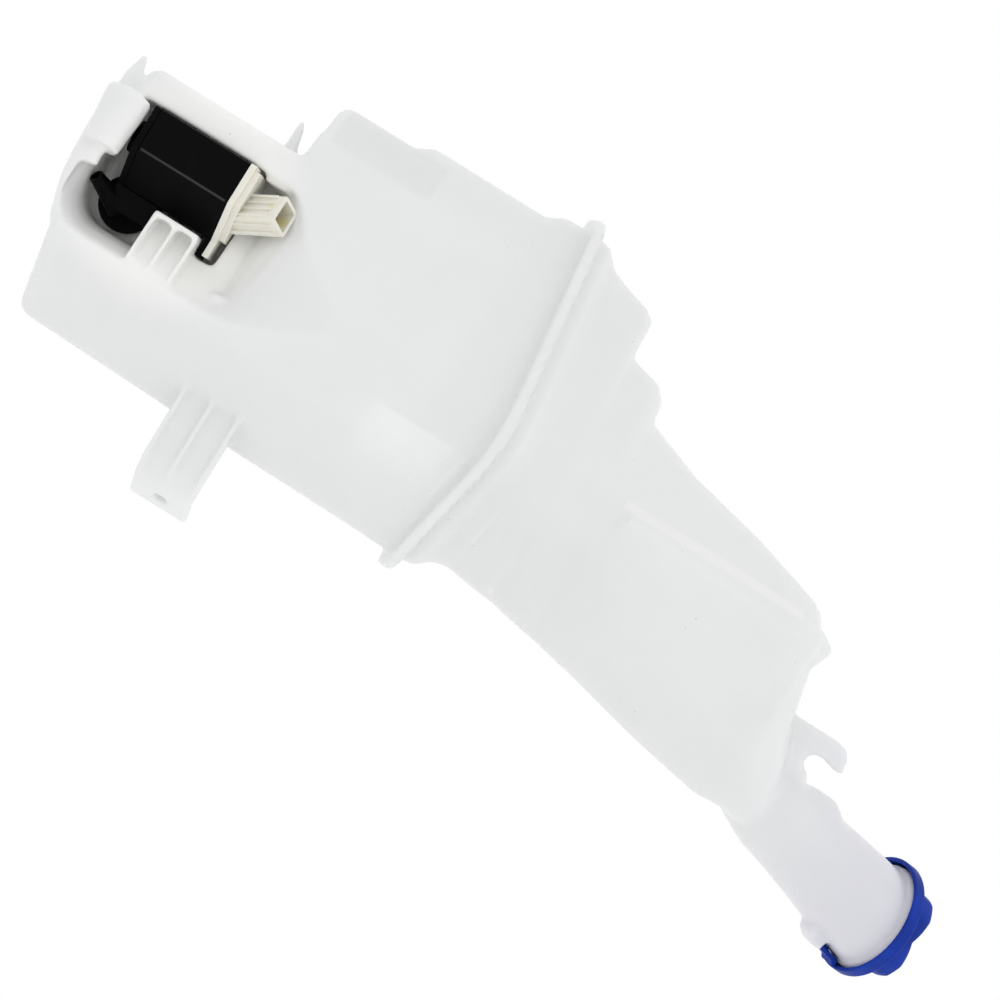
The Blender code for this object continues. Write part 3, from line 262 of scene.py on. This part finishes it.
def plainFinish(name):  # inner motor pieces: one base tone with grain and worn spots
    base, roughness, metallic = hardFinish[name]
    material, board = newMaterial(name)
    place = board.axes()[0]
    cloud = board.noise(place, 300.0, 4.0, 0.6)
    grain = board.noise(place, 1800.0, 2.0, 0.5, (1.0, 1.0, 0.2))
    worn = tuple(min(v * 1.25, 1.0) for v in base[:3]) + (1.0,)
    colour = board.blend(board.step(cloud, 0.45, 0.75), base, worn)
    board.surface({"Base Color": colour, "Roughness": roughness + 0.12 * cloud, "Metallic": metallic,
                   "Normal": board.bump(grain, 0.10, 0.0001)})
    return material


materials = {
    "tank_plastic": milkyPlastic(), "blue_plastic": bluePlastic(), "black_plastic": blackPlastic(),
    "cream_plastic": creamPlastic(), "black_rubber": plainFinish("rubber"),
    "plated_steel": plainFinish("steel"), "copper": plainFinish("copper"), "ferrite": plainFinish("ferrite"),
}
print("materials made:", len(materials))


# Shape tools

def roundedOutline(corners, radii, steps=5):  # a closed outline with its corners rounded
    longest = 0.46  # a rounding takes up to this share of an edge
    outline = []
    for i, corner in enumerate(corners):
        back, ahead = corners[i - 1] - corner, corners[(i + 1) % len(corners)] - corner
        turn = math.pi - back.angle(ahead)
        reach = min(radii[i] * math.tan(turn / 2), longest * back.length, longest * ahead.length)
        inward = (back.normalized() + ahead.normalized()).normalized()
        start = corner + back.normalized() * reach
        centre = corner + inward * math.hypot(reach, reach / math.tan(turn / 2))
        side = 1 if back.cross(ahead) < 0 else -1
        for k in range(steps + 1):
            outline.append(centre + Matrix.Rotation(side * turn * k / steps, 2) @ (start - centre))
    return outline


def skinned(shape, rings):  # closes a stack of equal rings into a solid
    loops = [[shape.verts.new(point) for point in ring] for ring in rings]
    for lower, upper in zip(loops, loops[1:]):
        for i in range(len(lower)):
            j = (i + 1) % len(lower)
            shape.faces.new((lower[i], lower[j], upper[j], upper[i]))
    shape.faces.new(list(reversed(loops[0])))
    shape.faces.new(loops[-1])


def solid(name, stacks):  # one loose object made of lofted stacks, in the model's metres
    shape = bmesh.new()
    for rings in stacks:
        skinned(shape, rings)
    bmesh.ops.recalc_face_normals(shape, faces=shape.faces)
    mesh = bpy.data.meshes.new(name)
    shape.to_mesh(mesh)
    shape.free()
    item = bpy.data.objects.new(name, mesh)
    bpy.context.scene.collection.objects.link(item)
    return item


def settled(item):  # the mesh that an object's modifiers leave
    bpy.context.view_layer.update()
    graph = bpy.context.evaluated_depsgraph_get()
    return bpy.data.meshes.new_from_object(item.evaluated_get(graph))


def taken(item):  # the same, with the object itself cleared away
    mesh = settled(item)
    bpy.data.objects.remove(item)
    return mesh


def applied(item):  # the modifiers go into the object's own mesh
    mesh = settled(item)
    item.modifiers.clear()
    item.data = mesh


def triangles(mesh):
    return sum(len(face.vertices) - 2 for face in mesh.polygons)


def level(points, radii, height):  # a plan outline in tank mm, rounded, at one height
    outline = roundedOutline([Vector(point) for point in points], radii)
    return [seat + Vector((p.x, p.y, height)) * mm for p in outline]


def between(stops, value):  # straight steps between (place, amount) pairs
    if value <= stops[0][0]:
        return stops[0][1]
    for (low, first), (high, second) in zip(stops, stops[1:]):
        if value <= high:
            return first + (second - first) * (value - low) / (high - low)
    return stops[-1][1]


# Lower half: the pump's pocket closes in on the left and under its roof, and the bottom swells

# A level of the pocket is its depth from the back, its flare to the right, and how far its floor
# sinks and its roof rises. Outlines are plans, all in tank mm.
pocketForm = {
    "left": -63.0, "right": -9.0, "floor": -210.6, "roof": -148.5, "back": -14.0,
    "lean": 0.1, "leftFlare": 0.06, "round": (6, 12, 12, 8),
    "levels": ((2, 0, 0, 0), (-11, 0, 0, 3), (-18, 0.7, 0.2, 6.5), (-24, 2.5, 0.6, 11),
               (-29, 5.5, 1.2, 16), (-33, 10, 2.2, 22), (-37, 15.5, 3.4, 30), (-41, 22, 5, 40),
               (-45, 31, 7, 53), (-52, 50, 11, 80)),
    "wall": ((4, -13), (-77, -13), (-77, -29.8), (-30, -58), (-14, -58), (4, -40.5)),
    "wallRound": (0.5, 0.5, 7, 18, 18, 0.5),
    "upperWall": ((4, -13), (-90, -13), (-90, -22), (-30, -58), (-14, -58), (4, -40.5)),
    "upperRound": (0.5, 0.5, 0.5, 18, 18, 0.5),
    "wallLow": -210.5, "ledge": -141.5, "wallHigh": -45.0, "overlap": 1,
}


def pocketWalls():
    form = pocketForm
    rings = []
    for run, flare, sink, rise in form["levels"]:
        left, right = form["left"] - form["leftFlare"] * flare, form["right"] + flare
        floor, roof = form["floor"] - sink, form["roof"] + rise
        corners = [Vector((left, floor)), Vector((right, floor)), Vector((right, roof)),
                   Vector((left, roof + form["lean"] * (right - left)))]
        outline = roundedOutline(corners, form["round"])
        rings.append([seat + Vector((p.x, form["back"] + run, p.y)) * mm for p in outline])
    cutter = solid("pocketCutter", [rings])
    walls = []
    for outline, rounds, low, high in (
            (form["wall"], form["wallRound"], form["wallLow"], form["ledge"]),
            (form["upperWall"], form["upperRound"], form["ledge"] - form["overlap"], form["wallHigh"])):
        wall = solid("pocketWall", [[level(outline, rounds, low), level(outline, rounds, high)]])
        cut = wall.modifiers.new("cut", "BOOLEAN")
        cut.object, cut.operation, cut.solver = cutter, "DIFFERENCE", "EXACT"
        walls.append(wall)
    meshes = [taken(wall) for wall in walls]
    bpy.data.objects.remove(cutter)
    return meshes


# A level of the swell is its drop below the bottom and how far it draws in towards the centre.
swellForm = {
    "outline": ((2, -14), (-67, -14), (-67, -35.8), (-30, -58), (-14, -58), (2, -42.4)),
    "round": (3, 3, 9, 9, 9, 9), "centre": (-31, -34), "levels": ((10.0, 8.0), (7.5, 4.0), (-2.5, 2.0)),
    "bottom": -215.0, "tilt": 0.14, "tiltFrom": 0.067,
}


def bottomSwell():
    form = swellForm
    centre = Vector(form["centre"])
    rings = []
    for drop, shrink in form["levels"]:
        arms = [Vector(point) - centre for point in form["outline"]]
        outline = [centre + arm * (1 - shrink / arm.length) for arm in arms]
        ring = level(outline, form["round"], form["bottom"] - drop)
        slope = form["tilt"] * drop / form["levels"][0][0]
        rings.append([p + Vector((0, 0, slope * (p.x - seat.x + form["tiltFrom"]))) for p in ring])
    return taken(solid("bottomSwell", [rings]))


# Plain prisms: the ramp and slope behind the shelves, the ear's channels and the pocket's corners
prismRound = 0.3
prismForms = (
    {"name": "shelfRamp", "outline": ((2.5, -12.6), (-25.5, -12.6), (-25.5, -32), (-3.5, -45.5)),
     "low": -179.0, "high": -160.0},
    {"name": "earFill", "outline": ((24, -11), (24, -15.6), (60, -14.4), (67.5, -11.8), (67.5, -11)),
     "low": -135.4, "high": -108.6},
    {"name": "slopeFill", "outline": ((2.5, -12.6), (-18.6, -12.6), (-18.6, -33), (-3.5, -43)),
     "low": -160.5, "high": -141.0},
    {"name": "nookRight", "outline": ((-18, -12.6), (-39.3, -12.6), (-39.3, -27), (-18, -33.4)),
     "low": -149.8, "high": -139.0},
    {"name": "nookLeft", "outline": ((-59.9, -12.6), (-66, -12.6), (-66, -36), (-59.9, -37)),
     "low": -149.8, "high": -139.0},
)


def prismFill(form):
    radii = [prismRound] * len(form["outline"])
    return taken(solid(form["name"], [[level(form["outline"], radii, form[end]) for end in ("low", "high")]]))


def lowerForms():  # every mesh that joins the lower shell
    return [*pocketWalls(), bottomSwell(), *(prismFill(form) for form in prismForms)]


# Upper half: the tower's front leans back into a neck that is smooth but for a bump on its left

# frontShift pairs a height with how far the front leans back there, in mm.
towerForm = {
    "frontShift": ((63, 0.0), (100, 3.0), (133, 7.0), (139, 6.5), (145, 5.0), (151, 3.0), (156, 1.0),
                   (160, 0.0)),
    "deep": -6.0, "shallow": -22.0,
}


def shapeTower(mesh):
    form = towerForm
    for vert in mesh.vertices:
        place = (vert.co - seat) / mm
        share = min(max((form["deep"] - place.y) / (form["deep"] - form["shallow"]), 0.0), 1.0)
        vert.co.y += between(form["frontShift"], place.z) * mm * share * share * (3 - 2 * share)


# The neck's own axes from the middle of its mouth, and radii in mm at heights along it
neckForm = {
    "mouth": (-0.003703, 0.01987, 0.3611), "x": (0.995562, 0.0, -0.094108),
    "y": (-0.038277, 0.913545, -0.404932), "z": (0.085972, 0.406737, 0.909491),
    "bend": 0.17, "sag": 0.16, "straight": 6.0, "reach": (-84, -41),
    "packed": ((-92, 14), (-82, 17), (-70, 19.2), (-60, 19.8), (-56, 20), (-46.5, 21.4), (-43.5, 20.4),
               (-41, 19.9)),
    "packedSide": ((-70, -1), (-60, -1.2), (-56, -1.3), (-46.5, -2), (-43.5, -0.7), (-41, 0)),
    "wanted": ((-92, 14), (-82, 16), (-70, 18.6), (-60, 18.8), (-56, 18.9), (-46.5, 19.55), (-43.5, 19.8),
               (-41, 19.9)),
    "bump": ((-64, 0), (-60, 1.2), (-56, 2.6), (-46.5, 4.0), (-43.5, 1.2), (-41, 0)),
    "bumpSide": 165.0, "skin": 3.0, "fade": 2.0,
}


def shapeNeck(mesh):
    form = neckForm
    mouth, across, back, along = (Vector(form[key]) for key in ("mouth", "x", "y", "z"))
    for vert in mesh.vertices:
        away = (vert.co - mouth) / mm
        height = away.dot(along)
        if not form["reach"][0] < height < form["reach"][1]:
            continue
        below = min(height + form["straight"], 0.0)
        side = Vector((away.dot(across) - form["bend"] * below, away.dot(back) + form["sag"] * below))
        turn = math.atan2(side.y, side.x)
        radius, offset = between(form["packed"], height), between(form["packedSide"], height)
        packed = offset * math.cos(turn) + math.sqrt(radius ** 2 - (offset * math.sin(turn)) ** 2)
        bump = max(math.cos(turn - math.radians(form["bumpSide"])), 0.0) ** 4
        wanted = between(form["wanted"], height) + between(form["bump"], height) * bump
        hold = 1 - min(max((abs(side.length - packed) - form["skin"]) / form["fade"], 0.0), 1.0)
        move = side.normalized() * (wanted - packed) * hold * mm
        vert.co += across * move.x + back * move.y


# Tank shells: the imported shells, with the soft edges of a blow moulding

weldForm = {"height": -28.0, "slope": -0.222, "fold": 9.0, "thick": 2.5, "halfGap": 0.15, "lift": 2.5,
            "inset": 0.012, "centre": 0.036, "slack": 0.1, "upright": 0.6}


def weldHeight(point):  # how far a point stands above the sloping weld plane, in mm
    x, y, z = (point - seat) / mm
    return z - weldForm["height"] - weldForm["slope"] * min(y - weldForm["fold"], 0.0)


def closeWeld(shape, lower):  # the lower flange rises over the seam, and the upper one draws in behind it
    band = weldForm
    if lower:
        for vert in shape.verts:
            if abs(weldHeight(vert.co) + band["halfGap"]) < band["slack"] / 2:
                vert.co.z += band["lift"] * mm
        return
    centre = sum((vert.co for vert in shape.verts), Vector()) / len(shape.verts)
    rim = set()
    for face in shape.faces:
        heights = [weldHeight(vert.co) - band["halfGap"] for vert in face.verts]
        inBand = all(-band["slack"] < height < band["thick"] + band["slack"] for height in heights)
        away = face.calc_center_median() - centre
        away.z = 0.0
        if inBand and abs(face.normal.z) < band["upright"] and face.normal.dot(away) > 0:
            rim.update(face.verts)
    for vert in rim:
        vert.co.x += (seat.x - band["centre"] - vert.co.x) * band["inset"]
        vert.co.y -= vert.co.y * band["inset"]


# The soft spot of a shell is its place in tank mm, its full and outer reach in mm, and its rounds.
shellForm = {
    "voxel": 1.0 * mm, "smoothing": 12, "faces": 190000, "joined": 0.01 * mm,
    "lowerSoft": ((-54, -47, -211), 12, 16, 40), "upperSoft": ((44, -20, 150), 16, 34, 90),
}


def mouldedShell(nodeName, name):
    look = shellForm
    mesh = nodes[nodeName].data.copy()
    shape = bmesh.new()
    shape.from_mesh(mesh)
    bmesh.ops.remove_doubles(shape, verts=shape.verts, dist=look["joined"])
    shape.normal_update()
    lower = nodeName.startswith("lower")
    closeWeld(shape, lower)
    for extra in lowerForms() if lower else ():
        shape.from_mesh(extra)
    shape.to_mesh(mesh)
    shape.free()
    piece = bpy.data.objects.new(name, mesh)
    bpy.context.scene.collection.objects.link(piece)
    remesh = piece.modifiers.new("remesh", "REMESH")
    remesh.mode = "VOXEL"
    remesh.voxel_size = look["voxel"]
    applied(piece)
    if not lower:
        shapeTower(piece.data)
        shapeNeck(piece.data)
    spot, inner, outer, rounds = look["lowerSoft" if lower else "upperSoft"]
    group = piece.vertex_groups.new(name="soft")
    for vert in piece.data.vertices:
        reach = ((vert.co - seat) / mm - Vector(spot)).length
        if reach < outer:
            group.add([vert.index], min((outer - reach) / (outer - inner), 1.0), "REPLACE")
    local = piece.modifiers.new("local", "SMOOTH")
    local.factor, local.iterations, local.vertex_group = 0.5, rounds, group.name
    soften = piece.modifiers.new("soften", "SMOOTH")
    soften.factor, soften.iterations = 0.5, look["smoothing"]
    applied(piece)
    count = triangles(piece.data)
    if count > look["faces"]:
        thin = piece.modifiers.new("thin", "DECIMATE")
        thin.ratio = look["faces"] / count
        applied(piece)
    piece.data.shade_smooth()
    piece.data.materials.clear()
    piece.data.materials.append(materials["tank_plastic"])
    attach(piece, "tank")
    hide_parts(nodeName)
    print(name, "from", count, "triangles to", triangles(piece.data))


mouldedShell("lower_tank_shell", "lowerTank")
mouldedShell("upper_tank_shell", "upperTank")


# Filler cap: a smooth rim band under a grip of broad lobes, with a shallow dish on top

# In mm in the neck's axes. A grip level is its share of the height, of the radius and of the valleys' depth.
capForm = {
    "rim": 27.6, "skirt": 25.7, "drop": -5.0, "bandTop": 0.8, "plug": 21.7, "plugWall": 1.6, "plugDrop": -0.9,
    "roof": 0.3, "lobe": 26.6, "valley": 0.2, "top": 9.2, "dish": 1.0, "middle": 0.4,
    "lobes": 5, "turn": 12.0, "flat": 0.24, "steps": 144,
    "gripLevels": ((0, 1.0, 0.6), (0.06, 0.985, 0.9), (0.3, 0.985, 1.0), (0.75, 0.965, 1.0),
                   (0.9, 0.94, 1.0), (0.97, 0.915, 1.0), (1.0, 0.88, 0.96)),
}


def fillerCap():
    form = capForm
    mouth, across, back, along = (Vector(neckForm[key]) for key in ("mouth", "x", "y", "z"))
    rim, skirt, band, grip = form["rim"], form["skirt"], form["bandTop"], form["lobe"]
    plug, drop, roof, top, middle = (form[key] for key in ("plug", "drop", "roof", "top", "middle"))
    plugIn, plugLow, dish = plug - form["plugWall"], form["plugDrop"], top - form["dish"]
    profile = [(middle, roof, 0), (plugIn, roof, 0), (plugIn, plugLow, 0), (plug, plugLow, 0),
               (plug, roof, 0), (skirt, roof, 0), (skirt, drop + 0.4, 0), (skirt + 0.4, drop, 0),
               (rim - 0.6, drop, 0), (rim - 0.15, drop + 0.2, 0), (rim, drop + 0.8, 0),
               (rim, band - 1.0, 0), (rim - 0.25, band - 0.3, 0), (rim - 0.8, band, 0)]
    for part, reach, hollow in form["gripLevels"]:
        profile.append((grip * reach, band + (top - band) * part, hollow))
    profile += [(17.4, top, 0), (16.9, top - 0.25, 0), (15.4, dish, 0), (middle, dish, 0)]
    rings = []
    for radius, height, hollow in profile:
        ring = []
        for k in range(form["steps"]):
            turn = math.tau * k / form["steps"]
            bay = math.acos(math.cos(form["lobes"] * (turn - math.radians(form["turn"])))) / math.pi
            valley = max(bay - form["flat"], 0.0) / (1 - form["flat"])
            reach = (radius - grip * form["valley"] * hollow * valley) * mm
            out = across * reach * math.cos(turn)
            ring.append(mouth + out + back * reach * math.sin(turn) + along * height * mm)
        rings.append(ring)
    cap = solid("fillerCap", [rings])
    cap.data.shade_smooth()
    cap.data.materials.append(materials["blue_plastic"])
    rounded = cap.modifiers.new("rounded", "BEVEL")
    rounded.width, rounded.segments = 0.35 * mm, 2
    rounded.limit_method, rounded.angle_limit = "ANGLE", math.radians(40)
    even = cap.modifiers.new("even", "WEIGHTED_NORMAL")
    even.keep_sharp, even.weight = False, 70
    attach(cap, "cap")
    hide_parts("filler_cap")
    print("filler cap made")


fillerCap()


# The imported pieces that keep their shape: softer edges and their own finish

edgeWidths = {  # mm; the rest take the plain width
    "cap_strap": 0.5, "pump_case": 0.7, "pump_head": 0.6, "inlet_grommet": 0.4,
    "connector_cap": 0.35, "terminal_left": 0.15, "terminal_right": 0.15, "motor_can": 0.3,
}
plainEdge = 0.2
for part in frame["record"]["subparts"]:
    item = nodes[part["node"]]
    item.data.materials.clear()
    item.data.materials.append(materials[part["material_slot"]])
    if part["node"].endswith("tank_shell") or part["node"] == "filler_cap":
        continue
    weld = item.modifiers.new("weld", "WELD")
    weld.merge_threshold = 0.005 * mm
    softened = item.modifiers.new("edge", "BEVEL")
    softened.width, softened.segments = edgeWidths.get(part["node"], plainEdge) * mm, 3
    softened.limit_method, softened.angle_limit = "ANGLE", math.radians(35)
    even = item.modifiers.new("even", "WEIGHTED_NORMAL")
    even.keep_sharp, even.weight = False, 80
print("packed pieces dressed")


# Floor, light and camera

studio = {
    "floorDrop": -0.45, "floorReach": 1.0, "floorFade": (0.6, 0.98),
    "floorTone": (0.93, 0.93, 0.93, 1.0), "floorSpeck": (0.9, 0.9, 0.9, 1.0),
    "white": (1.0, 1.0, 1.0, 1.0), "fill": 0.99,
    "cameraPlace": (-0.071403, -1.10013, 0.1305), "viewWidth": 0.42, "distance": 1.1, "sensor": 36.0,
    "right": (-0.5270, 0.0, 0.8499), "up": (-0.8499, 0.0, -0.5270),
}
lamps = {
    "topPanel": {"place": (-0.3, -0.5, 1.5), "aim": (-0.07, 0.0, 0.1), "size": (1.2, 1.2), "watts": 1.0},
    "sideSoftbox": {"place": (0.95, -0.076, 0.041), "aim": (-0.075, -0.047, 0.085), "size": (0.055, 0.07),
                    "watts": 0.034},
}


def makeFloor():
    bpy.ops.mesh.primitive_circle_add(vertices=96, radius=studio["floorReach"], fill_type="NGON",
                                      location=(seat.x, 0, studio["floorDrop"]))
    floor = bpy.context.object
    floor.name = "studioFloor"
    material, board = newMaterial("floorPaper")
    place, split = board.axes()
    x, y = split[0], split[1]
    reach = (x * x + y * y) ** 0.5
    speck = board.noise(place, 40.0)
    colour = board.blend(speck * 0.1, studio["floorTone"], studio["floorSpeck"])
    paper = board.node("ShaderNodeBsdfDiffuse", inputs={"Color": colour})
    clear = board.node("ShaderNodeBsdfTransparent")
    fade = board.step(reach, *(share * studio["floorReach"] for share in studio["floorFade"]))
    mixed = board.node("ShaderNodeMixShader", inputs={0: fade, 1: paper, 2: clear})
    board.node("ShaderNodeOutputMaterial", inputs={"Surface": mixed})
    floor.data.materials.append(material)


def makeWorld():
    world = bpy.data.worlds.new("studioWorld")
    bpy.context.scene.world = world
    world.use_nodes = True
    board = Board(world.node_tree)
    path = board.node("ShaderNodeLightPath").socket.node
    seen = sum((Wire(board, path.outputs[name]) for name in ("Is Glossy Ray", "Is Transmission Ray")),
               Wire(board, path.outputs["Is Camera Ray"])).held()
    fill = board.node("ShaderNodeBackground", inputs={"Color": studio["white"], "Strength": studio["fill"]})
    white = board.node("ShaderNodeBackground", inputs={"Color": studio["white"], "Strength": 1.0})
    mixed = board.node("ShaderNodeMixShader", inputs={0: seen, 1: fill, 2: white})
    board.node("ShaderNodeOutputWorld", inputs={"Surface": mixed})


def makeLamp(name, place, aim, size, watts):
    lamp = bpy.data.lights.new(name, "AREA")
    lamp.shape = "RECTANGLE"
    lamp.size, lamp.size_y = size
    lamp.energy = watts
    item = bpy.data.objects.new(name, lamp)
    bpy.context.scene.collection.objects.link(item)
    item.location = place
    item.rotation_euler = (Vector(aim) - Vector(place)).to_track_quat("-Z", "Y").to_euler()


def makeCamera():
    camera = bpy.data.cameras.new("studioCamera")
    camera.sensor_width = studio["sensor"]
    camera.lens = studio["sensor"] * studio["distance"] / studio["viewWidth"]
    camera.clip_start, camera.clip_end = 0.01, 50.0
    item = bpy.data.objects.new("studioCamera", camera)
    bpy.context.scene.collection.objects.link(item)
    right, up = Vector(studio["right"]), Vector(studio["up"])
    turn = Matrix((right, up, right.cross(up))).transposed().to_4x4()
    item.matrix_world = Matrix.Translation(studio["cameraPlace"]) @ turn
    bpy.context.scene.camera = item


makeFloor()
makeWorld()
for name, lamp in lamps.items():
    makeLamp(name, **lamp)
makeCamera()
bpy.context.scene.view_settings.view_transform = "Standard"
print("studio made")
